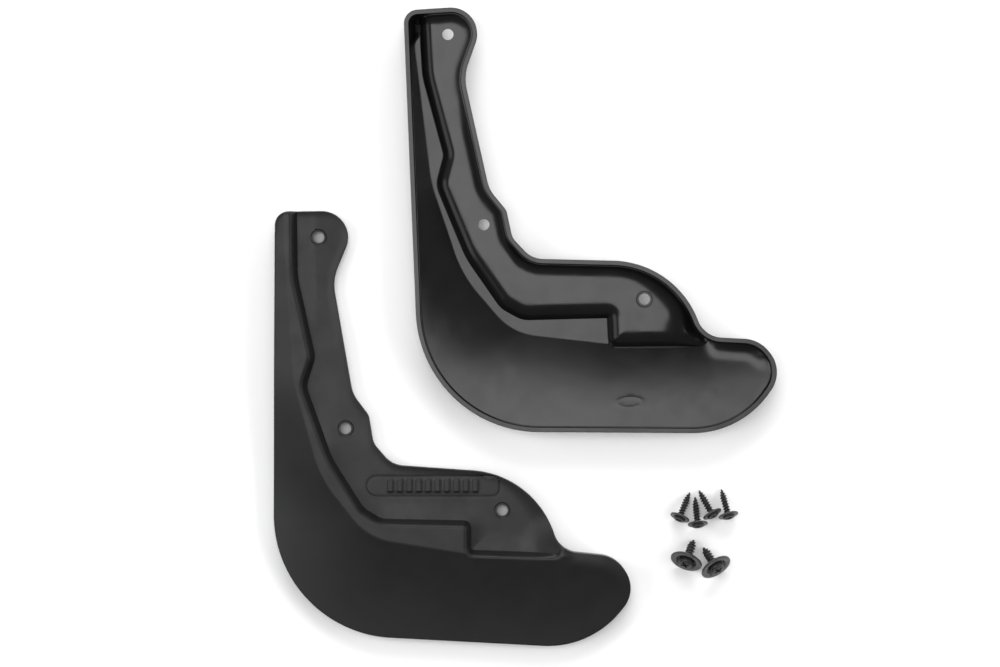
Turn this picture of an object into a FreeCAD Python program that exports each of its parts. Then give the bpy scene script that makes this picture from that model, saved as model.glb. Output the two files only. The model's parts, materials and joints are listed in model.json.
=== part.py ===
import FreeCAD, Part
import math
import os

from FreeCAD import Placement, Rotation, Vector

# A pair of moulded splash guards (mud flaps) with their fixing screws, laid out flat as one set.
# All sizes are in millimetres.  The set stands on z = 0 and its plan is centred on the origin.
# A flap's own frame: rim plane on z = 0, outer face up, lower outer corner near the origin,
# +X across the tread width and +Y up the mounting arm.

# ---- moulded flap -------------------------------------------------------------------------
FLAP_LENGTH = 280.0         # lower edge to the top of the arm
FLAP_WIDTH = 231.0          # outer edge to the inboard lobe
WALL = 2.8                  # moulded wall thickness
RIM = 3.0                   # width of the rim all round the back
FLANGE_HEIGHT = 7.0         # screw flange above the rim plane
CROWN_HEIGHT = 17.0         # ridge of the crowned panel above the rim plane
CROWN_RADIUS = 750.0        # the crown falls away on both sides of a ridge
CROWN_XY = 105.0            # the ridge runs crosswise through this x and y
EDGE_RADIUS = 3.0           # rounding of the panel's outer edge
FLANGE_EDGE_RADIUS = 2.5    # rounding of the flange's outer edge
INSIDE_RADIUS = 1.0         # rounding inside the hollow back

# Corners of the outline, clockwise from the top of the arm: x, y, rounding radius.
ARM_HEAD = 57.0
WAIST = 38.5
SHOULDER_Y = 116.0
LOBE_Y = 57.0
OUTLINE = [
    (1.5, FLAP_LENGTH, 9),
    (ARM_HEAD, FLAP_LENGTH + 1, 17),
    (WAIST, 236, 30),
    (WAIST + 13, 162, 22),
    (62, 148, 8),
    (65, 130, 12),
    (77, SHOULDER_Y, 17),
    (169, SHOULDER_Y - 6.5, 60),
    (186, LOBE_Y + 3.5, 17),
    (221, LOBE_Y, 21),
    (FLAP_WIDTH + 6, 36, 20),
    (206, -3, 60),
    (0, 8, 80),
]

# Corners of the sunk screw flange: the step line, then far corners clear of the outline.
STEP_Y = 79.0
NOTCH_X = 127.5
CHANNEL = [
    (14.0, FLAP_LENGTH + 40, 1),
    (15.0, 238, 60),
    (26.5, 186, 13),
    (20.5, 167, 13),
    (37.5, 120, 60),
    (58, 87.5, 16),
    (70, STEP_Y + 1.2, 14),
    (NOTCH_X, STEP_Y, 4),
    (NOTCH_X, 60, 3),
    (184.5, 58, 3),
    (202, 80, 1),
    (FLAP_WIDTH + 60, 80, 1),
    (FLAP_WIDTH + 60, FLAP_LENGTH + 40, 1),
]

# Screw holes: x, y in the flap's frame.
HOLES = [(29.5, 263.5), (47.0, 139.5), (148.5, 86.5)]
HOLE_RADIUS = 3.6
SEAT_RADIUS = 5.2           # shallow sunk seat round each hole, on the outer face
SEAT_DEPTH = 0.6
COLLAR_RADIUS = 4.9         # raised collar round the inboard hole, on the back
COLLAR_HEIGHT = 1.5

# Blank label field on the flange: an oblong outline groove.
LABEL_CENTRE = (103.5, 102.5)
LABEL_SIZE = (86.0, 13.0)
LABEL_TURN = 0.0            # degrees
LABEL_ROUND = 4.5
GROOVE_WIDTH = 0.8
GROOVE_DEPTH = 0.5

# ---- where the two flaps lie in the set, before centring ----------------------------------
LEFT_ORIGIN = Vector(-162.5, -205.7, 0)
RIGHT_ORIGIN = Vector(-66.3, -75.7, 0)
RIGHT_TURN = 2.67           # degrees, counter-clockwise seen from above

# ---- screws -------------------------------------------------------------------------------
# A screw's own frame: +X from head to tip, x = 0 on the tip side of its washer's flange.
SMALL = {
    "length": 18.0,
    "thread": 2.1,
    "core": 1.45,
    "pitch": 1.9,
    "thread_start": 0.6,
    "taper": 6.5,
    "seat": -1.3,
    "head_radius": 4.0,
    "head_height": 2.2,
    "washer_radius": 6.5,
    "washer_hole": 1.85,
}
LARGE = {
    "length": 16.5,
    "thread": 2.6,
    "core": 1.85,
    "pitch": 2.2,
    "thread_start": 2.3,
    "taper": 5.0,
    "seat": 0.3,
    "head_radius": 5.3,
    "head_height": 4.4,
    "washer_radius": 10.5,
    "washer_hole": 2.25,
}
SMALL_WASHER_THICK = 1.0
LARGE_WASHER_THICK = 1.2
DISH_RADIUS = 6.0           # inside radius of the large washer's sunk centre
DISH_DEPTH = 1.8
TIP_RADIUS = 0.25
RECESS_ARM = 0.62           # cross recess: arm length as a share of the head radius
RECESS_WIDTH = 0.9
RECESS_DEPTH = 1.5

# Where each screw lies: plan position of its washer and heading of its tip in degrees.
SMALL_PLACES = [
    (101.4, -123.4, 67.0),
    (112.8, -127.6, 95.0),
    (122.0, -121.2, 119.0),
    (132.6, -122.0, 104.5),
]
LARGE_PLACES = [
    (105.4, -151.6, 68.0),
    (124.2, -155.4, 122.5),
]


def rounded_wire(corners):
    """Closed flat wire through corners (x, y, radius), each rounded by a tangent arc."""
    arcs = []
    for index, (x, y, radius) in enumerate(corners):
        corner = Vector(x, y, 0)
        x_next, y_next = corners[(index + 1) % len(corners)][:2]
        back = (Vector(*corners[index - 1][:2], 0) - corner).normalize()
        ahead = (Vector(x_next, y_next, 0) - corner).normalize()
        half_angle = back.getAngle(ahead) / 2
        reach = radius / math.tan(half_angle)
        inset = radius / math.sin(half_angle) - radius
        middle = corner + (back + ahead).normalize() * inset
        arcs.append((corner + back * reach, middle, corner + ahead * reach))
    edges = []
    for index, (start, middle, end) in enumerate(arcs):
        edges.append(Part.Arc(start, middle, end).toShape())
        edges.append(Part.LineSegment(end, arcs[(index + 1) % len(arcs)][0]).toShape())
    return Part.Wire(edges)


def prism(wire, bottom, top):
    """Straight prism over a flat wire, from height bottom to height top."""
    face = Part.Face(wire)
    face.translate(Vector(0, 0, bottom))
    return face.extrude(Vector(0, 0, top - bottom))


def crown(drop):
    """Everything below the crowned surface, lowered by drop: a big cylinder lying crosswise."""
    length = 2 * (FLAP_LENGTH + FLAP_WIDTH)
    along = Vector(1, -1, 0).normalize()
    middle = Vector(CROWN_XY, CROWN_XY, CROWN_HEIGHT - CROWN_RADIUS)
    return Part.makeCylinder(CROWN_RADIUS - drop, length, middle - along * (length / 2), along)


def fillet_above(solid, height, radius):
    """Round every edge of the solid that lies wholly above a height."""
    edges = [edge for edge in solid.Edges if edge.BoundBox.ZMin > height]
    return solid.makeFillet(radius, edges)


def stepped_body(outline, channel, drop, bottom, panel_round, flange_round):
    """Crowned panel and sunk flange as one solid, with all tops lowered by drop."""
    flange_top = FLANGE_HEIGHT - drop
    flange = prism(outline, bottom, flange_top)
    flange = fillet_above(flange, flange_top - 0.01, flange_round)
    panel = prism(outline, bottom, CROWN_HEIGHT + 5)
    panel = panel.cut(prism(channel, bottom - 1, CROWN_HEIGHT + 10))
    panel = panel.common(crown(drop))
    panel = fillet_above(panel, flange_top, panel_round)
    return flange.fuse(panel).removeSplitter()


def label_groove():
    """Ring cut into the flange's outer face that frames the blank label field."""
    rings = []
    for inset in (0, GROOVE_WIDTH):
        half_x = LABEL_SIZE[0] / 2 - inset
        half_y = LABEL_SIZE[1] / 2 - inset
        end_round = half_y - 0.01
        wire = rounded_wire([
            (-half_x, half_y, end_round),
            (half_x, half_y, LABEL_ROUND - inset),
            (half_x, -half_y, LABEL_ROUND - inset),
            (-half_x, -half_y, end_round),
        ])
        rings.append(prism(wire, FLANGE_HEIGHT - GROOVE_DEPTH, FLANGE_HEIGHT + 1))
    groove = rings[0].cut(rings[1])
    groove.rotate(Vector(0, 0, 0), Vector(0, 0, 1), LABEL_TURN)
    groove.translate(Vector(*LABEL_CENTRE, 0))
    return groove


def flap():
    """One flap in its own frame, outer face up."""
    outline = rounded_wire(OUTLINE)
    channel = rounded_wire(CHANNEL)
    body = stepped_body(outline, channel, 0, 0, EDGE_RADIUS, FLANGE_EDGE_RADIUS)
    hollow = stepped_body(
        outline.makeOffset2D(-RIM), channel.makeOffset2D(WALL),
        WALL, -1, INSIDE_RADIUS, INSIDE_RADIUS)
    body = body.cut(hollow)
    collar_bottom = FLANGE_HEIGHT - WALL - COLLAR_HEIGHT
    body = body.fuse(Part.makeCylinder(
        COLLAR_RADIUS, COLLAR_HEIGHT + 0.5, Vector(*HOLES[2], collar_bottom)))
    for hole in HOLES:
        body = body.cut(Part.makeCylinder(HOLE_RADIUS, FLANGE_HEIGHT + 2, Vector(*hole, -1)))
        body = body.cut(Part.makeCylinder(
            SEAT_RADIUS, 2, Vector(*hole, FLANGE_HEIGHT - SEAT_DEPTH)))
    return body.cut(label_groove()).removeSplitter()


def revolved(points):
    """Solid turned about the X axis from profile points (x, radius)."""
    wire = Part.makePolygon([Vector(x, radius, 0) for x, radius in points + points[:1]])
    return Part.Face(wire).revolve(Vector(0, 0, 0), Vector(1, 0, 0), 360)


def thread_profile(size):
    """Profile points of the thread ridges and the gimlet point, from the neck to the tip."""
    points = []
    taper_start = size["length"] - size["taper"]

    def scale(x):
        share = max(0.0, x - taper_start) / size["taper"]
        return 1 - share

    x = size["thread_start"]
    points.append((x, size["core"]))
    while x + size["pitch"] < size["length"] - 1.0:
        crest = x + 0.5 * size["pitch"]
        valley = x + size["pitch"]
        points.append((x + 0.2 * size["pitch"], size["core"] * scale(x) + 0.02))
        points.append((crest, max(TIP_RADIUS, size["thread"] * scale(crest))))
        points.append((x + 0.8 * size["pitch"], size["core"] * scale(valley) + 0.02))
        x = valley
    points.append((size["length"], TIP_RADIUS))
    points.append((size["length"], 0))
    return points


def screw(size):
    """Pan-head screw with a cross recess, lying along +X."""
    seat = size["seat"]
    top = seat - size["head_height"]
    rim = size["head_radius"]
    head = [
        (top, 0),
        (top, 0.45 * rim),
        (top + 0.15 * size["head_height"], 0.75 * rim),
        (top + 0.45 * size["head_height"], 0.95 * rim),
        (top + 0.7 * size["head_height"], rim),
        (seat, rim),
        (seat, size["core"]),
    ]
    body = revolved(head + thread_profile(size))
    arm = 2 * RECESS_ARM * rim
    for width_y, width_z in ((arm, RECESS_WIDTH), (RECESS_WIDTH, arm)):
        corner = Vector(top - 1, -width_y / 2, -width_z / 2)
        body = body.cut(Part.makeBox(RECESS_DEPTH + 1, width_y, width_z, corner))
    return body


def small_washer():
    """Flat captive washer of a small screw."""
    hole = SMALL["washer_hole"]
    rim = SMALL["washer_radius"]
    back = -SMALL_WASHER_THICK
    return revolved([(back, hole), (back, rim - 0.3), (back + 0.3, rim), (0, rim), (0, hole)])


def large_washer():
    """Dished captive washer of a large screw: flat flange and a sunk centre for the head."""
    hole = LARGE["washer_hole"]
    rim = LARGE["washer_radius"]
    front = -LARGE_WASHER_THICK
    floor = front + DISH_DEPTH
    floor_back = floor + 1.0
    return revolved([
        (floor, hole),
        (floor, DISH_RADIUS),
        (front + 0.4, DISH_RADIUS + 0.2),
        (front, DISH_RADIUS + 0.6),
        (front, rim - 0.4),
        (front + 0.4, rim),
        (0, rim),
        (0, DISH_RADIUS + 1.4),
        (floor_back, DISH_RADIUS + 0.8),
        (floor_back, hole),
    ])


def lying(solid, size, place):
    """Lay a screw or its washer down: washer rim and tip both on the ground plane."""
    x, y, heading = place
    tilt = math.degrees(math.atan2(size["washer_radius"] - TIP_RADIUS, size["length"]))
    height = size["washer_radius"] * math.cos(math.radians(tilt))
    turn = Rotation(Vector(0, 0, 1), heading).multiply(Rotation(Vector(0, 1, 0), tilt))
    laid = solid.copy()
    laid.Placement = Placement(Vector(x, y, height), turn)
    return laid


def make_set():
    """Every piece of the set by name, before centring."""
    left = flap()
    right = left.mirror(Vector(0, 0, CROWN_HEIGHT / 2), Vector(0, 0, 1))
    left.translate(LEFT_ORIGIN)
    right.rotate(Vector(0, 0, 0), Vector(0, 0, 1), RIGHT_TURN)
    right.translate(RIGHT_ORIGIN)
    pieces = {"left_mud_flap": left, "right_mud_flap": right}
    groups = (
        ("small", SMALL, SMALL_PLACES, small_washer()),
        ("large", LARGE, LARGE_PLACES, large_washer()),
    )
    for word, size, places, washer in groups:
        body = screw(size)
        for number, place in enumerate(places, start=1):
            pieces[f"{word}_screw_{number}"] = lying(body, size, place)
            pieces[f"{word}_washer_{number}"] = lying(washer, size, place)
    return pieces


def centring_shift(pieces):
    """Move that centres the set's plan on the origin; the set already stands on z = 0."""
    box = FreeCAD.BoundBox()
    for solid in pieces.values():
        box.add(solid.optimalBoundingBox(False, False))
    return Vector(-(box.XMin + box.XMax) / 2, -(box.YMin + box.YMax) / 2, 0)


def main():
    os.makedirs("parts", exist_ok=True)
    pieces = make_set()
    shift = centring_shift(pieces)
    for name, solid in pieces.items():
        solid.translate(shift)
        solid.exportStep(f"parts/{name}.step")
        bounds = solid.optimalBoundingBox(False, False)
        print(f"{name:16s} valid {solid.isValid()} solids {len(solid.Solids)} "
              f"volume {solid.Volume:9.1f} z {bounds.ZMin:6.2f} to {bounds.ZMax:6.2f}")
    print("shift", shift)


main()
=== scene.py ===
import json
import math

import bpy
import numpy as np
from mathutils import Matrix, Vector
from mathutils.geometry import delaunay_2d_cdt
from mathutils.kdtree import KDTree


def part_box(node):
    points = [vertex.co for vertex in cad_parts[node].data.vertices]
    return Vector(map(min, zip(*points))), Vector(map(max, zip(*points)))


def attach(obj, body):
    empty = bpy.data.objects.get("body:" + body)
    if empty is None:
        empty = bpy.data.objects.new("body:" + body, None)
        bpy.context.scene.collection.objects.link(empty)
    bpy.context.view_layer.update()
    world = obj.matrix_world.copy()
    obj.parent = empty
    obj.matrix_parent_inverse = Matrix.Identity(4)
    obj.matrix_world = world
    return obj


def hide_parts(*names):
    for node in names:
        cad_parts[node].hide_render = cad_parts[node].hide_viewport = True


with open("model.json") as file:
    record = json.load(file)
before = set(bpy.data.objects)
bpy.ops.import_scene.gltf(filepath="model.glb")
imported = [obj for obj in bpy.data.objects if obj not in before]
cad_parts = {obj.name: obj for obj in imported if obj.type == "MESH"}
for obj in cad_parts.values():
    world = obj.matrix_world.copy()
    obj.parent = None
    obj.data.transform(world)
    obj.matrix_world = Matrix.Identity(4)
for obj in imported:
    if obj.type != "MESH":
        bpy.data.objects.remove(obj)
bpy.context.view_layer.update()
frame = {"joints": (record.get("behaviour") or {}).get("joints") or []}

# The set lies on z = 0 and is seen from straight above.  Flap and screw shapes are worked out in
# millimetres in their own frames, as the CAD has them, and scaled to metres as they are placed.
MM = 0.001

# ---- flap: its overall shape ----------------------------------------------------------------
# Its own frame has the rim plane on z = 0, the outer face up, the lower outer corner near the
# origin and the arm along +Y.
FLAP_LENGTH = 280.0
FLAP_WIDTH = 231.0
WALL = 2.8
RIM = 3.0
FLANGE_HEIGHT = 7.0                  # top of the sunk screw flange
PANEL_HEIGHT = 17.0                  # top of the panel beside the step
ARM_HEAD = 57.0
WAIST = 38.5
SHOULDER_Y = 116.0
LOBE_Y = 57.0
STEP_Y = 79.0
NOTCH_X = 127.5
RIGHT_TURN = 2.67                    # degrees that the right flap lies turned by

# Corners as x, y, rounding radius.
OUTLINE = [
    (1.5, FLAP_LENGTH, 9),
    (ARM_HEAD, FLAP_LENGTH + 1, 17),
    (WAIST, 236, 30),
    (WAIST + 13, 162, 22),
    (62, 148, 8),
    (65, 130, 12),
    (77, SHOULDER_Y, 17),
    (169, SHOULDER_Y - 6.5, 60),
    (186, LOBE_Y + 3.5, 17),
    (221, LOBE_Y, 21),
    (FLAP_WIDTH + 6, 36, 20),
    (206, -3, 60),
    (0, 8, 80),
]
# Edge of the sunk screw flange, closed far outside the outline.
CHANNEL = [
    (14.0, FLAP_LENGTH + 40, 1),
    (15.0, 238, 60),
    (26.5, 186, 13),
    (20.5, 167, 13),
    (37.5, 120, 60),
    (58, 87.5, 16),
    (70, STEP_Y + 1.2, 14),
    (NOTCH_X, STEP_Y, 4),
    (NOTCH_X, 60, 3),
    (184.5, 58, 3),
    (202, 80, 1),
    (FLAP_WIDTH + 60, 80, 1),
    (FLAP_WIDTH + 60, FLAP_LENGTH + 40, 1),
]
# Crease where the level band beside the step turns down into the falling panel.
CREASE = [
    (7.6, FLAP_LENGTH + 40, 1),
    (8.0, 255, 120),
    (14.5, 168, 80),
    (31, 108, 80),
    (62, 69, 40),
    (NOTCH_X, 58.5, 30),
    (188, 57, 10),
    (FLAP_WIDTH + 60, 72, 1),
    (FLAP_WIDTH + 60, FLAP_LENGTH + 40, 1),
]
# The low side of the falling panel: the outline without its upper edge.
LOW_EDGE = [
    (1.5, FLAP_LENGTH + 60, 1),
    (FLAP_WIDTH + 90, FLAP_LENGTH + 60, 1),
    (FLAP_WIDTH + 90, -8, 1),
    (0, 8, 80),
]

# ---- flap: relief of its two faces ----------------------------------------------------------
# A soft border is a pair of places along x or y: a share is 0 at the first and 1 at the second.
BODY_FALL = 8.5                      # the panel falls this far from the crease to the lower edge
ARM_SLOPE = 0.17                     # slope of the panel beside the arm
ARM_Y = (70, 175)                    # border from the body to the arm
FLANGE_LEAN = 0.1                    # slope of the flange along the arm's upper half
FLANGE_CREASE_X = 27.5               # the line that the lean starts from
LEAN_Y = (195, 225)
STEP_END = (188, 60)                 # the step dies out here, above the lobe
STEP_END_REACH = 30
STEP_FOOT = {"outer": 0.8, "inner": 7.0}       # how far the step's foot lies inside the channel
STEP_RUN = {"outer": 4.6, "inner": 10.6}       # width of the step from its foot to its head
STEP_POWER = 2.2                     # roundness of the outer step's head
FLANGE_DIP = 0.25                    # dip of the arm's flange close to the step
DIP_REACH = (4.0, 0.5)
DIP_Y = (120, 135)
FLANGE_FILLET = 1.1                  # rise of the body's flange towards the step
FILLET_REACH = 14
FILLET_Y = (150, 120)
# The flange's outer edge is raised, more so at the right end.
RAISED_EDGE = (0.65, 1.95)
RAISED_REACH = (5.0, 15.0)
RAISED_X = (145, 175)
RAISED_POWER = 1.8
# The hollow is deeper in a gutter beside the rim: by a depth and over a reach at the arm, and
# then what the body and the right end add.
GUTTER_DEPTH = (1.4, 0.7, 0.4)
GUTTER_REACH = (7.5, 1.7, 2.5)
GUTTER_POWER = 1.6
GUTTER_BODY_X = (60, 70)
GUTTER_END_X = (140, 165)
EDGE_ROLL = 0.7                      # radius of the rolled edges
# The panel's upper corner is rolled further, by a width and a height, within its borders.
CORNER_ROLL = {"outer": (1.6, 1.1), "inner": (9, 8)}
CORNER_X = {"outer": (22, 8), "inner": (24, 10)}
CORNER_Y = {"outer": (262, 272), "inner": (255, 268)}
# The top of the lobe bends down towards its edge.
LOBE_FALL = {"outer": 1.5, "inner": 2.9}
LOBE_REACH = {"outer": 10, "inner": 12}
LOBE_LEFT_X = (184, 196)
LOBE_RIGHT_X = (232, 218)
LOBE_LOW_Y = (36, 48)

# ---- flap: holes and marks ------------------------------------------------------------------
HOLES = [(29.5, 263.5), (47.0, 139.5), (148.5, 86.5)]
HOLE_RADIUS = 3.6
SEAT_RADIUS = 5.2
SEAT_DEPTH = 0.6
SEAT_FLANK = (0.1, -0.5)             # soft border of the seat, from its radius
COLLAR_RADIUS = 4.9                  # collar round the lower hole on the back
COLLAR_HEIGHT = 1.5
COLLAR_FLANK = (0.4, -0.1)
LABEL_CENTRE = (103.5, 102.5)
LABEL_SIZE = (86.0, 13.0)
LABEL_ROUND = 4.5                    # corner radius of the label field's right end
GROOVE_DEPTH = 0.5
GROOVE_FLANK = (0.55, 0.15)
BAR_COUNT = 10                       # plain raised bars in the label field
BAR_SIZE = (3.6, 8.0)
BAR_PITCH = 6.1
BAR_ROUND = 0.9
BAR_HEIGHT = 0.45
BAR_FLANK = (0.2, -0.25)
OVAL_CENTRE = (136.0, 20.5)
OVAL_SIZE = (8.0, 3.2)
OVAL_HEIGHT = 0.07
OVAL_LINE = 0.18                     # width of its line, as a share of the oval's size

# ---- flap: spacing of the mesh --------------------------------------------------------------
OUTLINE_STEP = 1.0
CURVE_STEP = 0.8
LABEL_STEP = 0.7
BAR_STEP = 0.4
GRID_STEP = 1.7
GUIDE_GAP = 0.2                      # guide points closer than this are thinned out
GUIDE_MARGIN = 0.5                   # guide points keep this far from a face's boundary
HOLE_COUNT = 48
OVAL_COUNT = 60
SEAT_RINGS = (4.2, 4.7, 5.0, 5.35, 6.2)
STEP_ROWS = (-6, -5, -4, -3, -2.2, -1.5, -1, -0.5, 0, 0.5, 1.1, 1.8, 2.4, 3, 3.7, 4.4)
CREASE_ROWS = (-0.9, 0, 0.9)
LABEL_ROWS = (-0.9, -0.5, -0.2, 0.2, 0.5, 0.9)
BAR_ROWS = (-0.4, 0, 0.35, 0.8)
OVAL_ROWS = (0.8, 0.9, 1, 1.1, 1.2)            # shares of the oval's size
SKIRT = {"outer": 2.0, "inner": 4.5}           # width of the rows along the outline, on each side
OUTER_INSETS = (1.6, 1.25, 1.0, 0.8, 0.6, 0.4, 0.22, 0.08, 0.0)
INNER_INSETS = (0, 0.12, 0.35, 0.7, 1.1)
OUTER_WALL_SHARES = (0.6, 0.25)                # rows down the outer wall, as shares of its height
INNER_WALL_SHARES = (0.35, 0.7)
WALL_FOOT = 0.35                               # the walls' rows end this far over the rim plane
# Rows over the rim's foot, as inset and height.
RIM_ROWS = (
    (0, 0.2),
    (0.06, 0.06),
    (0.2, 0),
    (0.4, 0),
    (RIM - 0.4, 0),
    (RIM - 0.2, 0),
    (RIM - 0.06, 0.06),
    (RIM, 0.2),
)
SMOOTH_BACK, GRAINED_FACE = 0, 1               # material slots of a flap

# ---- screws ---------------------------------------------------------------------------------
# A screw's own frame: +X from head to tip, x = 0 on the tip side of its washer's flange.
SMALL = {
    "length": 18.0,
    "thread": 2.35,
    "core": 1.5,
    "pitch": 1.9,
    "thread_start": 0.6,
    "taper": 6.5,
    "seat": -1.3,
    "head_radius": 4.0,
    "head_height": 1.3,
    "washer_radius": 6.5,
    "washer_hole": 1.85,
}
LARGE = {
    "length": 16.5,
    "thread": 2.85,
    "core": 1.9,
    "pitch": 2.2,
    "thread_start": 2.3,
    "taper": 5.0,
    "seat": 0.3,
    "head_radius": 5.1,
    "head_height": 4.4,
    "washer_radius": 10.5,
    "washer_hole": 2.25,
}
TIP_RADIUS = 0.15
RECESS_DEPTH = 1.9
RECESS_ARM = 0.62                    # reach of the cross, as a share of the head's radius
DOME_EDGE = 0.8                      # the domed top ends here, as a share of the head's radius
DOME_FALL = 0.22                     # the dome's fall at the full radius, in head heights
FLANK_START = 0.14                   # the head's rounded flank, in head heights
FLANK_FALL = 0.62
HEAD_BEVEL = 0.12
RIDGE_WIDTH = 0.34                   # half the thread ridge's width, in pitches
THREAD_ROWS = 16                     # rows of points in one turn of the thread
AROUND = 72                          # points round a screw or washer
ROLL_START, ROLL_STEP = 0.6, 1.9     # each screw's roll about its axis, in radians

# ---- studio and camera, in metres -----------------------------------------------------------
FLOOR_HALF = 4.0
FLOOR_DROP = 0.0003                  # the floor lies this far under the set
WORLD_LIGHT = 0.12
# Name, place, size, radiance, and whether it shows in reflections or only fills shadows.
SOFTBOXES = [
    ("overhead_softbox", (-0.43, 0.19, 2.2), (1.66, 0.92), 3.1, True),
    ("back_softbox", (-0.3, 2.2, 1.1), (2.2, 1.2), 3.0, True),
    ("right_softbox", (2.2, 0.5, 1.1), (1.2, 1.8), 2.0, True),
    ("left_softbox", (-2.2, -0.3, 1.3), (1.2, 1.8), 1.0, True),
    ("back_fill", (0.3, 2.2, 1.2), (2.2, 1.2), 3.8, False),
    ("right_fill", (2.2, -0.6, 1.2), (1.2, 2.2), 4.8, False),
    ("left_fill", (-2.2, 0.2, 1.3), (1.2, 1.8), 4.2, False),
]
CAMERA_AIM = (-0.0161, -0.0040)      # plan point under the lens, beside the set's centre
CAMERA_HEIGHT = 2.6
VIEW_WIDTH = 0.650                   # width of the view on the ground
SENSOR = 36.0                        # millimetres, as the lens


# ---- shares and blends ----------------------------------------------------------------------
def smooth(start, end, value):
    """0 up to start, 1 beyond end, smooth between; start may also be the larger one."""
    share = np.clip((value - start) / (end - start), 0.0, 1.0)
    return share * share * (3 - 2 * share)


def closeness(away, reach, power=2):
    """1 where away is 0 or less, falling to 0 at the reach by a power."""
    return np.clip(1 - away / reach, 0, 1) ** power


def mix(start, end, share):
    """From start at share 0 to end at share 1."""
    return start + (end - start) * share


# ---- plan curves and distances --------------------------------------------------------------
def unit(vector):
    """The vector at length 1."""
    return vector / np.linalg.norm(vector)


def circle(centre, radius, count):
    """Evenly spaced points round a circle."""
    angles = np.arange(count) * 2 * math.pi / count
    return np.column_stack([np.cos(angles), np.sin(angles)]) * radius + centre


def resampled(points, step):
    """Evenly spaced points along a closed line of points."""
    closed = np.vstack([points, points[:1]])
    run = np.concatenate([[0], np.cumsum(np.hypot(*np.diff(closed, axis=0).T))])
    count = int(round(run[-1] / step))
    stops = np.arange(count) * run[-1] / count
    return np.column_stack([np.interp(stops, run, closed[:, 0]), np.interp(stops, run, closed[:, 1])])


def rounded_points(corners, step):
    """Points along a closed outline whose corners (x, y, radius) are rounded by tangent arcs."""
    arc_step = 0.3
    points = []
    for index, (x, y, radius) in enumerate(corners):
        corner = np.array([x, y], float)
        x_next, y_next = corners[(index + 1) % len(corners)][:2]
        back = unit(np.array(corners[index - 1][:2], float) - corner)
        ahead = unit(np.array([x_next, y_next], float) - corner)
        half_angle = math.acos(np.clip(back @ ahead, -1, 1)) / 2
        centre = corner + unit(back + ahead) * radius / math.sin(half_angle)
        spoke = corner + back * radius / math.tan(half_angle) - centre
        turn = math.pi - 2 * half_angle
        side = -math.copysign(1, back[0] * ahead[1] - back[1] * ahead[0])
        count = max(3, int(turn * radius / arc_step))
        for angle in np.linspace(0, side * turn, count):
            cos, sin = math.cos(angle), math.sin(angle)
            points.append(centre + (cos * spoke[0] - sin * spoke[1], sin * spoke[0] + cos * spoke[1]))
    return resampled(np.array(points), step)


def plan_tree(points):
    """Search tree over plan points."""
    tree = KDTree(len(points))
    for index, (x, y) in enumerate(points):
        tree.insert((x, y, 0), index)
    tree.balance()
    return tree


def nearest(points, others):
    """Distance from each point to the nearest of the others."""
    tree = plan_tree(others)
    return np.array([tree.find((x, y, 0))[2] for x, y in points])


def signed_distance(points, line):
    """Distance from each point to a closed line of close points, positive outside it."""
    tree = plan_tree(line)
    closest = np.array([tree.find((x, y, 0))[1] for x, y in points])
    ahead = np.roll(line, -1, axis=0)
    clockwise = np.sign(np.sum((ahead[:, 0] - line[:, 0]) * (ahead[:, 1] + line[:, 1])))
    best = np.full(len(points), np.inf)
    side = np.ones(len(points))
    for shift in (0, -1):
        starts = line[(closest + shift) % len(line)]
        runs = line[(closest + shift + 1) % len(line)] - starts
        offsets = points - starts
        share = np.clip((offsets * runs).sum(1) / (runs ** 2).sum(1), 0, 1)
        away = np.hypot(*(offsets - share[:, None] * runs).T)
        closer = away < best
        left = runs[:, 0] * offsets[:, 1] - runs[:, 1] * offsets[:, 0]
        best = np.where(closer, away, best)
        side = np.where(closer, np.sign(left) * clockwise, side)
    return best * side


def distance(points, line):
    """Distance from each point to a closed line, on either side."""
    return np.abs(signed_distance(points, line))


def inside(points, line):
    """Whether each point lies inside a closed line."""
    return signed_distance(points, line) < 0


def inward_normals(line):
    """Unit normals of a clockwise closed line, pointing in."""
    along = np.roll(line, -1, axis=0) - np.roll(line, 1, axis=0)
    along /= np.linalg.norm(along, axis=1)[:, None]
    return np.column_stack([along[:, 1], -along[:, 0]])


def parallel_rows(line, offsets):
    """Points of rows beside a closed line, left out where rows fold over each other."""
    tolerance = 0.06
    normals = inward_normals(line)
    rows = []
    for offset in offsets:
        row = line + normals * offset
        away = distance(row, line)
        rows.append(row[np.abs(away - abs(offset)) < tolerance])
    return np.vstack(rows)


def thinned(points, gap):
    """The points, without any that falls in the same small cell as an earlier one."""
    cells = np.round(points / gap).astype(int)
    _, first = np.unique(cells, axis=0, return_index=True)
    return points[np.sort(first)]


def label_outline():
    """The label field's oblong outline, a full round at its left end."""
    half_x, half_y = LABEL_SIZE[0] / 2, LABEL_SIZE[1] / 2
    full_round = half_y - 0.05
    corners = [
        (-half_x, half_y, full_round),
        (half_x, half_y, LABEL_ROUND),
        (half_x, -half_y, LABEL_ROUND),
        (-half_x, -half_y, full_round),
    ]
    return rounded_points(corners, LABEL_STEP) + LABEL_CENTRE


def bar_outlines():
    """Rounded outlines of the plain bars, side by side in the label field."""
    half_x, half_y = BAR_SIZE[0] / 2, BAR_SIZE[1] / 2
    corners = [(-half_x, half_y), (half_x, half_y), (half_x, -half_y), (-half_x, -half_y)]
    bar = rounded_points([(x, y, BAR_ROUND) for x, y in corners], BAR_STEP)
    places = (np.arange(BAR_COUNT) - (BAR_COUNT - 1) / 2) * BAR_PITCH
    return [bar + LABEL_CENTRE + np.array([place, 0]) for place in places]


outline = rounded_points(OUTLINE, OUTLINE_STEP)
outline_normals = inward_normals(outline)
channel = rounded_points(CHANNEL, CURVE_STEP)
crease = rounded_points(CREASE, CURVE_STEP)
low_edge = rounded_points(LOW_EDGE, CURVE_STEP)
label = label_outline()
bars = bar_outlines()


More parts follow.
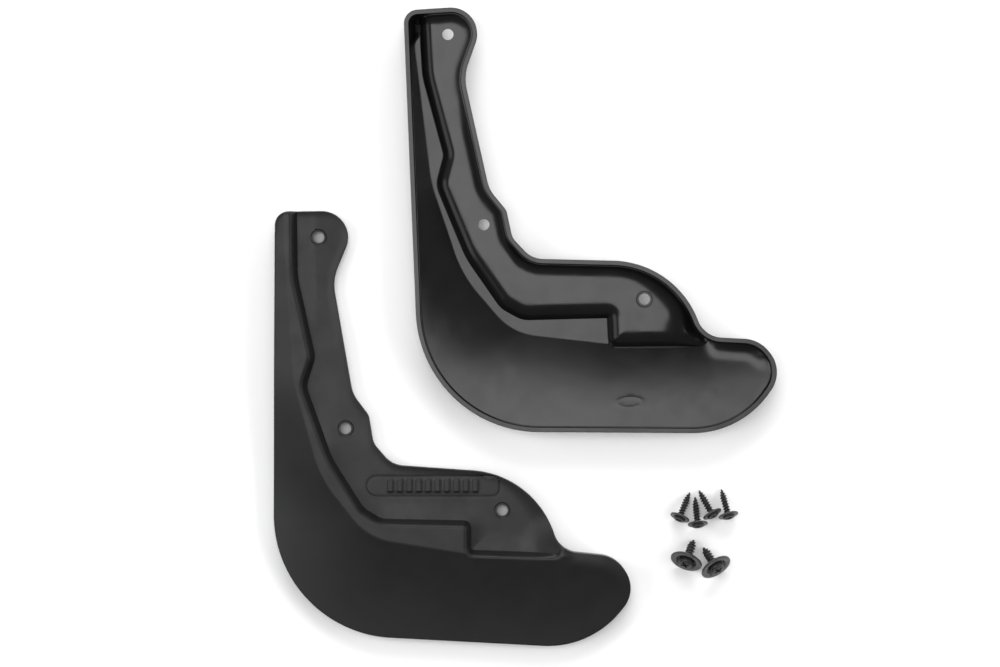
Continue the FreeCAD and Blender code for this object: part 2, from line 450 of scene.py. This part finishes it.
# ---- heights of the flap's two faces --------------------------------------------------------
def panel_height(points):
    """Height of the panel: level beside the step, falling from the crease to the low edge."""
    past_crease = np.clip(signed_distance(points, crease), 0, None)
    to_low = np.clip(-signed_distance(points, low_edge), 0, None)
    share = past_crease / (past_crease + to_low + 0.01)
    share = 0.5 * share + 0.5 * (1 - (1 - share) ** 2)
    arm = smooth(*ARM_Y, points[:, 1])
    return PANEL_HEIGHT - BODY_FALL * share * (1 - arm) - ARM_SLOPE * past_crease * arm


def flange_height(points):
    """Height of the sunk flange, which leans away from the step along the arm's upper half."""
    x, y = points.T
    lean = np.clip(x - FLANGE_CREASE_X, 0, None) * smooth(*LEAN_Y, y)
    return FLANGE_HEIGHT - FLANGE_LEAN * lean


def near_step_end(points):
    """Share by which the flange has become the panel where the step dies out."""
    return closeness(np.hypot(*(points - STEP_END).T), STEP_END_REACH)


def edge_drop(points, inset, climb, face):
    """How far a face's rolled edge and its lobe's bent top fall below it, inset from its wall."""
    x, y = points.T
    corner = smooth(*CORNER_Y[face], y) * smooth(*CORNER_X[face], x) * climb
    width, height = (EDGE_ROLL + extra * corner for extra in CORNER_ROLL[face])
    short = closeness(inset, width, 1)
    roll = height * (1 - np.sqrt(1 - short * short))
    lobe = smooth(*LOBE_LEFT_X, x) * smooth(*LOBE_RIGHT_X, x) * smooth(*LOBE_LOW_Y, y)
    return roll + LOBE_FALL[face] * lobe * closeness(inset, LOBE_REACH[face])


def outer_height(points):
    """Height of the outer face over the rim plane."""
    x, y = points.T
    edge = distance(points, outline)
    step = signed_distance(points, channel)
    panel, flange = panel_height(points), flange_height(points)
    right_end = smooth(*RAISED_X, x)
    reach = mix(*RAISED_REACH, right_end)
    flange += mix(*RAISED_EDGE, right_end) * closeness(edge, reach, RAISED_POWER)
    flange -= FLANGE_DIP * smooth(*DIP_REACH, -step) * smooth(*DIP_Y, y)
    flange += FLANGE_FILLET * closeness(-step, FILLET_REACH) * smooth(*FILLET_Y, y)
    flange = mix(flange, panel, near_step_end(points))
    climb = 1 - closeness(step + STEP_FOOT["outer"], STEP_RUN["outer"], STEP_POWER)
    height = mix(flange, panel, climb) - edge_drop(points, edge, climb, "outer")
    for hole in HOLES:
        away = np.hypot(*(points - hole).T)
        height -= SEAT_DEPTH * smooth(*SEAT_FLANK, away - SEAT_RADIUS)
    return height + label_relief(points)


def label_relief(points):
    """Height that the label field's groove and bars add to the outer face."""
    relief = np.zeros(len(points))
    near_label = np.abs(points - LABEL_CENTRE).max(1) < LABEL_SIZE[0]
    close = points[near_label]
    relief[near_label] = -GROOVE_DEPTH * smooth(*GROOVE_FLANK, distance(close, label))
    for bar in bars:
        relief[near_label] += BAR_HEIGHT * smooth(*BAR_FLANK, signed_distance(close, bar))
    return relief


def inner_height(points):
    """Height of the hollow back's surface over the rim plane."""
    inset = distance(points, outline) - RIM
    step = signed_distance(points, channel)
    panel, flange = panel_height(points), flange_height(points)
    x = points[:, 0]
    zones = np.array([np.ones_like(x), smooth(*GUTTER_BODY_X, x), smooth(*GUTTER_END_X, x)])
    flange += (GUTTER_DEPTH @ zones) * closeness(inset, GUTTER_REACH @ zones, GUTTER_POWER)
    flange = mix(flange, panel, near_step_end(points))
    rounded = np.clip((step + STEP_FOOT["inner"]) / STEP_RUN["inner"], 0, 1)
    climb = 1 - np.sqrt(1 - rounded ** 2)
    height = mix(flange, panel, climb) - WALL - edge_drop(points, inset, climb, "inner")
    collar = np.hypot(*(points - HOLES[2]).T)
    height -= COLLAR_HEIGHT * smooth(*COLLAR_FLANK, collar - COLLAR_RADIUS)
    oval = np.hypot(*((points - OVAL_CENTRE) / OVAL_SIZE).T)
    return height - OVAL_HEIGHT * np.exp(-((oval - 1) / OVAL_LINE) ** 2)


# ---- the flap's mesh ------------------------------------------------------------------------
def surface_points(boundary, guides):
    """Points for one face of the flap inside its boundary ring: guide points, then a loose grid."""
    guides = guides[signed_distance(guides, boundary) < -GUIDE_MARGIN]
    for hole in HOLES:
        guides = guides[np.hypot(*(guides - hole).T) > SEAT_RINGS[-1] + 0.6]
    rings = [circle(hole, radius, HOLE_COUNT) for hole in HOLES for radius in SEAT_RINGS]
    kept = np.vstack(rings + [thinned(guides, GUIDE_GAP)])
    low, high = boundary.min(0), boundary.max(0)
    rows = []
    for index, y in enumerate(np.arange(low[1], high[1], GRID_STEP * math.sqrt(3) / 2)):
        x = np.arange(low[0] + (index % 2) * GRID_STEP / 2, high[0], GRID_STEP)
        rows.append(np.column_stack([x, np.full(len(x), y)]))
    grid = np.vstack(rows)
    spacing = 0.6 * GRID_STEP
    grid = grid[signed_distance(grid, boundary) < -spacing]
    for hole in HOLES:
        grid = grid[np.hypot(*(grid - hole).T) > SEAT_RINGS[-1] + 0.5 * GRID_STEP]
    grid = grid[nearest(grid, kept) > spacing]
    return np.vstack([kept, grid])


def triangulated(boundary, holes, free):
    """Triangles over a boundary ring with round holes, through free points."""
    points = np.vstack([boundary] + holes + [free])
    edges = []
    start = 0
    for ring in [boundary] + holes:
        count = len(ring)
        edges += [(start + i, start + (i + 1) % count) for i in range(count)]
        start += count
    result = delaunay_2d_cdt([Vector(p) for p in points], edges, [], 0, 1e-5)
    if len(result[0]) != len(points):
        raise ValueError(f"triangulation changed the points: {len(points)} to {len(result[0])}")
    faces = np.array([face for face in result[2] if len(face) == 3])
    centres = points[faces].mean(1)
    keep = inside(centres, boundary)
    for ring in holes:
        keep &= ~inside(centres, ring)
    faces = faces[keep]
    a, b, c = points[faces[:, 0]], points[faces[:, 1]], points[faces[:, 2]]
    area = (b[:, 0] - a[:, 0]) * (c[:, 1] - a[:, 1]) - (b[:, 1] - a[:, 1]) * (c[:, 0] - a[:, 0])
    faces[area < 0] = faces[area < 0][:, ::-1]
    return points, faces


def ring_quads(first, second, count, turned=False):
    """Quads between two closed rings of vertices, each given by its first vertex."""
    around = np.arange(count)
    ahead = (around + 1) % count
    corners = [first + around, second + around, second + ahead, first + ahead]
    if turned:
        corners[1], corners[3] = corners[3], corners[1]
    return np.column_stack(corners).tolist()


class Patchwork:
    """A flap's mesh as it is put together from patches, with a material slot for each face."""

    def __init__(self):
        self.vertices = np.empty((0, 3))
        self.faces = []
        self.slots = []

    def add_vertices(self, plan, height):
        """Add vertices over plan points, and return the number of the first."""
        start = len(self.vertices)
        self.vertices = np.vstack([self.vertices, np.column_stack([plan, height])])
        return start

    def add_faces(self, faces, slot):
        """Add faces that all have one material slot."""
        self.faces += faces
        self.slots += [slot] * len(faces)


def guide_points():
    """Points on each face that follow its step, crease and marks."""
    step_rows = parallel_rows(channel, STEP_ROWS)
    crease_rows = parallel_rows(crease, CREASE_ROWS)
    label_rows = parallel_rows(label, LABEL_ROWS)
    bar_rows = np.vstack([parallel_rows(bar, BAR_ROWS) for bar in bars])
    oval = circle((0, 0), 1, OVAL_COUNT)
    oval_rows = np.vstack([oval * share * OVAL_SIZE + OVAL_CENTRE for share in OVAL_ROWS])
    return {
        "outer": np.vstack([step_rows, label_rows, bar_rows, crease_rows]),
        "inner": np.vstack([step_rows, oval_rows, crease_rows]),
    }


def edge_rows():
    """Rows (plan points, heights) over the flap's edge, outer ones and then rim and inner ones."""
    outer = []
    for inset in OUTER_INSETS:
        ring = outline + outline_normals * inset
        outer.append((ring, outer_height(ring)))
    top = outer[-1][1]
    for share in OUTER_WALL_SHARES:
        outer.append((outline, mix(WALL_FOOT, top, share)))
    inner = []
    for inset, height in RIM_ROWS:
        inner.append((outline + outline_normals * inset, np.full(len(outline), float(height))))
    foot = outline + outline_normals * RIM
    top = inner_height(foot)
    for share in INNER_WALL_SHARES:
        inner.append((foot, mix(WALL_FOOT, top, share)))
    for inset in INNER_INSETS:
        ring = outline + outline_normals * (RIM + inset)
        inner.append((ring, inner_height(ring)))
    return outer, inner


def flap_geometry():
    """One flap as a closed mesh: two faces, the rows over its edge and the walls of its holes."""
    flap = Patchwork()
    guides = guide_points()
    hole_rings = [circle(hole, HOLE_RADIUS, HOLE_COUNT) for hole in HOLES]
    rings = {}
    for face, height, slot in (
        ("outer", outer_height, GRAINED_FACE),
        ("inner", inner_height, SMOOTH_BACK),
    ):
        boundary = outline + outline_normals * SKIRT[face]
        points, triangles = triangulated(boundary, hole_rings, surface_points(boundary, guides[face]))
        if face == "inner":
            triangles = triangles[:, ::-1]
        rings[face] = flap.add_vertices(points, height(points))
        flap.add_faces((triangles + rings[face]).tolist(), slot)
    outer_rows, inner_rows = edge_rows()
    starts = [rings["outer"]]
    starts += [flap.add_vertices(plan, height) for plan, height in outer_rows + inner_rows]
    starts.append(rings["inner"])
    for index, (upper, lower) in enumerate(zip(starts, starts[1:])):
        slot = GRAINED_FACE if index <= len(outer_rows) else SMOOTH_BACK
        flap.add_faces(ring_quads(upper, lower, len(outline), turned=True), slot)
    for number in range(len(HOLES)):
        first = len(outline) + number * HOLE_COUNT
        wall = ring_quads(rings["outer"] + first, rings["inner"] + first, HOLE_COUNT)
        flap.add_faces(wall, SMOOTH_BACK)
    return flap


# ---- pieces and materials -------------------------------------------------------------------
def new_mesh(name, vertices, faces):
    """Smooth-shaded mesh, with its sharp edges kept crisp."""
    mesh = bpy.data.meshes.new(name)
    mesh.from_pydata([tuple(v) for v in vertices], [], faces)
    mesh.polygons.foreach_set("use_smooth", [True] * len(mesh.polygons))
    mesh.set_sharp_from_angle(angle=math.radians(40.0))
    mesh.validate()
    mesh.update()
    return mesh


def new_piece(name, mesh, body, node):
    """Link a mesh as a piece that stands for a CAD node."""
    piece = bpy.data.objects.new(name, mesh)
    bpy.context.scene.collection.objects.link(piece)
    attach(piece, body)
    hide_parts(node)
    return piece


class Surface:
    """A principled material with the few kinds of node that the set needs."""

    def __init__(self, name):
        self.material = bpy.data.materials.new(name)
        self.material.use_nodes = True
        self.nodes = self.material.node_tree.nodes
        self.links = self.material.node_tree.links
        self.shader = self.nodes["Principled BSDF"]

    def noise(self, scale, detail=4.0, roughness=0.55):
        """Noise in object space, scale in cycles per metre."""
        place = self.nodes.new("ShaderNodeTexCoord")
        texture = self.nodes.new("ShaderNodeTexNoise")
        texture.inputs["Scale"].default_value = scale
        texture.inputs["Detail"].default_value = detail
        texture.inputs["Roughness"].default_value = roughness
        self.links.new(place.outputs["Object"], texture.inputs["Vector"])
        return texture.outputs["Fac"]

    def ramp(self, value, low, high):
        """Map the middle of a noise's range to low and high."""
        span = self.nodes.new("ShaderNodeMapRange")
        span.inputs["From Min"].default_value = 0.3
        span.inputs["From Max"].default_value = 0.7
        span.inputs["To Min"].default_value = low
        span.inputs["To Max"].default_value = high
        self.links.new(value, span.inputs["Value"])
        return span.outputs["Result"]

    def vary_tone(self, value, low, high):
        """Grey base colour that a noise moves between low and high."""
        tone = self.ramp(value, low, high)
        colour = self.nodes.new("ShaderNodeCombineColor")
        for primary in ("Red", "Green", "Blue"):
            self.links.new(tone, colour.inputs[primary])
        self.links.new(colour.outputs["Color"], self.shader.inputs["Base Color"])

    def vary_gloss(self, value, low, high):
        """Roughness that a noise moves between low and high."""
        self.links.new(self.ramp(value, low, high), self.shader.inputs["Roughness"])

    def bump(self, layers):
        """Stack bump layers (height socket, distance in metres, strength) under the shader."""
        normal = None
        for height, depth, strength in layers:
            node = self.nodes.new("ShaderNodeBump")
            node.inputs["Distance"].default_value = depth
            node.inputs["Strength"].default_value = strength
            self.links.new(height, node.inputs["Height"])
            if normal is not None:
                self.links.new(normal, node.inputs["Normal"])
            normal = node.outputs["Normal"]
        self.links.new(normal, self.shader.inputs["Normal"])


def flap_material(name, tone, gloss_low, gloss_high, grain):
    """Black moulded plastic: fine grain, faint flow marks, slightly uneven gloss."""
    surface = Surface(name)
    surface.vary_tone(surface.noise(45, 5), tone * 0.85, tone * 1.2)
    surface.vary_gloss(surface.noise(70, 6), gloss_low, gloss_high)
    fine = surface.noise(2600, 2)
    flow = surface.noise(28, 2)
    surface.bump([(flow, 0.0006, 0.25), (fine, 0.00006, grain)])
    return surface.material


def metal_material(name, tone, gloss_low, gloss_high):
    """Steel under a thin dark coat that is rubbed a little brighter in patches."""
    surface = Surface(name)
    surface.vary_tone(surface.noise(420, 5, 0.65), tone * 0.7, tone * 1.5)
    surface.vary_gloss(surface.noise(900, 4), gloss_low, gloss_high)
    surface.shader.inputs["Metallic"].default_value = 0.7
    surface.bump([(surface.noise(3200, 3), 0.00004, 0.35)])
    return surface.material


def paper_material(name):
    """Matt white studio paper, glowing faintly so that it stays white under the set."""
    surface = Surface(name)
    surface.vary_tone(surface.noise(6), 0.91, 0.93)
    surface.shader.inputs["Roughness"].default_value = 0.9
    surface.shader.inputs["Emission Color"].default_value = (1, 1, 1, 1)
    surface.shader.inputs["Emission Strength"].default_value = 0.04
    surface.shader.inputs["Specular IOR Level"].default_value = 0.2
    return surface.material


# ---- screws and washers ---------------------------------------------------------------------
def lathe(rows, close_start=None, close_end=None):
    """Vertices and faces of rows (x, radii around) joined along X, with end points on the axis."""
    angles = np.arange(AROUND) * 2 * math.pi / AROUND
    vertices = []
    for x, radii in rows:
        radii = np.broadcast_to(radii, AROUND)
        xs = np.broadcast_to(x, AROUND)
        vertices.append(np.column_stack([xs, radii * np.cos(angles), radii * np.sin(angles)]))
    vertices = np.vstack(vertices)
    faces = []
    for row in range(len(rows) - 1):
        faces += ring_quads(row * AROUND, (row + 1) * AROUND, AROUND)
    last = (len(rows) - 1) * AROUND
    around = np.arange(AROUND)
    ahead = (around + 1) % AROUND
    if close_start is not None:
        vertices = np.vstack([vertices, [close_start, 0, 0]])
        tip = len(vertices) - 1
        faces += [[tip, a, b] for a, b in zip(around, ahead)]
    if close_end is not None:
        vertices = np.vstack([vertices, [close_end, 0, 0]])
        tip = len(vertices) - 1
        faces += [[tip, last + b, last + a] for a, b in zip(around, ahead)]
    return vertices, faces


def recess_depth(radius, angles, arm, width):
    """Depth of the cross recess at polar places on the head."""
    u, v = np.abs(radius * np.cos(angles)), np.abs(radius * np.sin(angles))
    wide, narrow = np.maximum(u, v), np.minimum(u, v)
    wing = smooth(width * 1.25, width * 0.75, narrow) * smooth(arm, arm * 0.82, wide)
    middle = smooth(width * 2.3, width * 1.3, np.hypot(u, v))
    slope = 1 - 0.45 * np.clip(wide / arm, 0, 1)
    return RECESS_DEPTH * np.maximum(wing * slope, middle)


def head_rows(size):
    """Rows of a pan head, from the middle of its cross recess to its seat."""
    angles = np.arange(AROUND) * 2 * math.pi / AROUND
    seat, rim, height = size["seat"], size["head_radius"], size["head_height"]
    top = seat - height
    row_step = 0.12
    rows = []
    for radius in np.arange(row_step, rim * DOME_EDGE, row_step):
        dome = height * DOME_FALL * (radius / rim) ** 2
        sink = recess_depth(radius, angles, rim * RECESS_ARM, 0.5 + 0.03 * rim)
        rows.append((top + dome + sink, radius))
    for turn in np.linspace(0.15, 1, 9):
        bend = turn * math.pi / 2
        x = top + FLANK_START * height + FLANK_FALL * height * (1 - math.cos(bend))
        rows.append((x, rim * mix(DOME_EDGE, 1, math.sin(bend))))
    rows.append((seat - HEAD_BEVEL, rim))
    rows.append((seat, rim - HEAD_BEVEL))
    return rows


def shank_rows(size):
    """Rows of the shank: a round core with a helical thread that ends in a gimlet point."""
    angles = np.arange(AROUND) * 2 * math.pi / AROUND
    seat, length, pitch, taper = (size[key] for key in ("seat", "length", "pitch", "taper"))
    rows = [(seat, size["core"] + 0.2), (seat + 0.2, size["core"])]
    for x in np.arange(seat + 0.3, length - 0.15, pitch / THREAD_ROWS):
        phase = (x / pitch - angles / (2 * math.pi)) % 1.0
        ridge = closeness(np.abs(phase - 0.5), RIDGE_WIDTH, 1)
        grown = smooth(size["thread_start"] - 0.5, size["thread_start"] + 0.9, x)
        share = np.clip((x - (length - taper)) / taper, 0, 1)
        core = size["core"] * (1 - share ** 1.3) + TIP_RADIUS * share
        depth = (size["thread"] - size["core"]) * grown * (1 - share ** 3)
        rows.append((x, core + depth * ridge))
    return rows


def screw_geometry(size):
    """Pan-head screw with a cross recess and a gimlet point."""
    middle = size["seat"] - size["head_height"] + RECESS_DEPTH
    return lathe(head_rows(size) + shank_rows(size), middle, size["length"])


def small_washer_profile():
    """Outline (x, radius) of a small screw's flat washer, from its hole round its rim and back."""
    rim, hole = SMALL["washer_radius"], SMALL["washer_hole"]
    return [
        (-0.85, hole), (-1.0, hole + 0.15), (-1.0, rim - 0.45), (-0.93, rim - 0.2),
        (-0.75, rim - 0.04), (-0.55, rim), (-0.2, rim), (-0.06, rim - 0.06),
        (0.0, rim - 0.2), (0.0, hole + 0.15), (-0.15, hole),
    ]


def large_washer_profile():
    """Outline (x, radius) of a large screw's dished washer."""
    rim, hole, dish = LARGE["washer_radius"], LARGE["washer_hole"], 6.0
    front, floor = -1.2, 0.6
    return [
        (floor + 0.15, hole), (floor, hole + 0.15), (floor, dish - 0.7), (floor - 0.1, dish - 0.3),
        (floor - 0.4, dish), (floor - 0.9, dish + 0.35), (front + 0.5, dish + 0.65),
        (front + 0.2, dish + 0.95), (front + 0.03, dish + 1.35), (front - 0.02, dish + 1.9),
        (front, rim - 0.9), (front + 0.1, rim - 0.35), (front + 0.35, rim - 0.06),
        (front + 0.6, rim), (-0.25, rim), (-0.06, rim - 0.1), (0.0, rim - 0.35),
        (0.0, dish + 1.9), (0.1, dish + 1.5), (0.4, dish + 1.2), (floor + 0.6, dish + 0.95),
        (floor + 0.92, dish + 0.6), (floor + 1.0, dish + 0.2), (floor + 1.0, hole + 0.15),
        (floor + 0.85, hole),
    ]


def ring_geometry(profile):
    """Closed ring turned about X from a closed profile (x, radius)."""
    vertices, faces = lathe(profile)
    faces += ring_quads((len(profile) - 1) * AROUND, 0, AROUND)
    return vertices, faces


def along_axis(place, axis, roll):
    """Matrix that carries a screw's own frame, in millimetres, to its place and axis in the set."""
    forward = Vector(axis).normalized()
    side = Vector((0, 0, 1)).cross(forward).normalized()
    up = forward.cross(side)
    turn = Matrix((forward, side, up)).transposed().to_4x4()
    return Matrix.Translation(Vector(place)) @ turn @ Matrix.Rotation(roll, 4, "X") @ Matrix.Scale(MM, 4)


def placed(vertices, matrix):
    """The vertices carried by a matrix."""
    return np.array(vertices) @ np.array(matrix.to_3x3()).T + np.array(matrix.translation)


# ---- the set --------------------------------------------------------------------------------
def make_flaps():
    """Both flaps: the right one is the mirror image of the left one and lies on its outer face."""
    flap = flap_geometry()
    moulded = flap_material("flap_smooth_back", 0.006, 0.17, 0.23, 0.1)
    grained = flap_material("flap_grained_face", 0.006, 0.38, 0.46, 0.3)
    for side, turn in (("left", 0.0), ("right", math.radians(RIGHT_TURN))):
        node = f"{side}_mud_flap"
        vertices = flap.vertices.copy()
        faces = flap.faces
        if side == "right":
            vertices[:, 2] = PANEL_HEIGHT - vertices[:, 2]
            faces = [face[::-1] for face in faces]
        cos, sin = math.cos(turn), math.sin(turn)
        plan = vertices[:, :2] @ np.array([[cos, sin], [-sin, cos]])
        box_low, box_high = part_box(node)
        target = np.array([(box_low.x + box_high.x) / 2, (box_low.y + box_high.y) / 2]) / MM
        vertices[:, :2] = plan + target - (plan.max(0) + plan.min(0)) / 2
        mesh = new_mesh(node + "_skin", vertices * MM, faces)
        mesh.materials.append(moulded)
        mesh.materials.append(grained)
        mesh.polygons.foreach_set("material_index", flap.slots)
        new_piece(node + "_skin", mesh, f"{side}_flap", node)


def make_screws():
    """Every screw with its captive washer, along the axis that the washer spins about."""
    joints = {joint["child"]: joint for joint in frame["joints"] if joint["type"] == "hinge"}
    coated = metal_material("screw_dark_coat", 0.05, 0.34, 0.5)
    satin = metal_material("washer_satin_coat", 0.085, 0.34, 0.48)
    groups = (
        ("small", SMALL, small_washer_profile()),
        ("large", LARGE, large_washer_profile()),
    )
    for word, size, profile in groups:
        shapes = {"screw": screw_geometry(size), "washer": ring_geometry(profile)}
        number = 1
        while f"{word}_washer_{number}" in joints:
            joint = joints[f"{word}_washer_{number}"]
            matrix = along_axis(joint["pos_m"], joint["axis"], ROLL_START + ROLL_STEP * number)
            for kind, material in (("screw", coated), ("washer", satin)):
                node = f"{word}_{kind}_{number}"
                vertices, faces = shapes[kind]
                mesh = new_mesh(node + "_skin", placed(vertices, matrix), faces)
                mesh.materials.append(material)
                new_piece(node + "_skin", mesh, node, node)
            number += 1


def make_softbox(name, place, size, radiance, mirrored):
    """Rectangular softbox aimed at the set's middle; one that isn't mirrored only fills shadows."""
    lamp = bpy.data.lights.new(name, "AREA")
    lamp.shape = "RECTANGLE"
    lamp.size, lamp.size_y = size
    lamp.energy = radiance * math.pi * size[0] * size[1]
    holder = bpy.data.objects.new(name, lamp)
    away = Vector(place).normalized()
    level = Vector((0, 1, 0)).cross(away).normalized()
    turn = Matrix((level, away.cross(level), away)).transposed().to_4x4()
    holder.matrix_world = Matrix.Translation(Vector(place)) @ turn
    holder.visible_camera = False
    holder.visible_glossy = mirrored
    bpy.context.scene.collection.objects.link(holder)


def make_studio():
    """White paper floor, even surroundings and the softboxes."""
    corners = [(x * FLOOR_HALF, y * FLOOR_HALF, 0) for x, y in ((-1, -1), (1, -1), (1, 1), (-1, 1))]
    mesh = bpy.data.meshes.new("studio_floor")
    mesh.from_pydata(corners, [], [(0, 1, 2, 3)])
    mesh.materials.append(paper_material("studio_paper"))
    floor = bpy.data.objects.new("studio_floor", mesh)
    floor.location.z = -FLOOR_DROP
    bpy.context.scene.collection.objects.link(floor)
    world = bpy.data.worlds.new("studio")
    bpy.context.scene.world = world
    world.use_nodes = True
    background = world.node_tree.nodes["Background"]
    background.inputs["Color"].default_value = (1, 1, 1, 1)
    background.inputs["Strength"].default_value = WORLD_LIGHT
    for softbox in SOFTBOXES:
        make_softbox(*softbox)


def make_camera():
    """Camera straight above the set."""
    data = bpy.data.cameras.new("camera")
    data.sensor_width = SENSOR
    data.lens = SENSOR * CAMERA_HEIGHT / VIEW_WIDTH
    data.clip_start = 0.05
    data.clip_end = 50
    camera = bpy.data.objects.new("camera", data)
    camera.location = (*CAMERA_AIM, CAMERA_HEIGHT)
    bpy.context.scene.collection.objects.link(camera)
    bpy.context.scene.camera = camera
    bpy.context.scene.view_settings.view_transform = "Standard"


make_camera()
make_studio()
make_flaps()
make_screws()
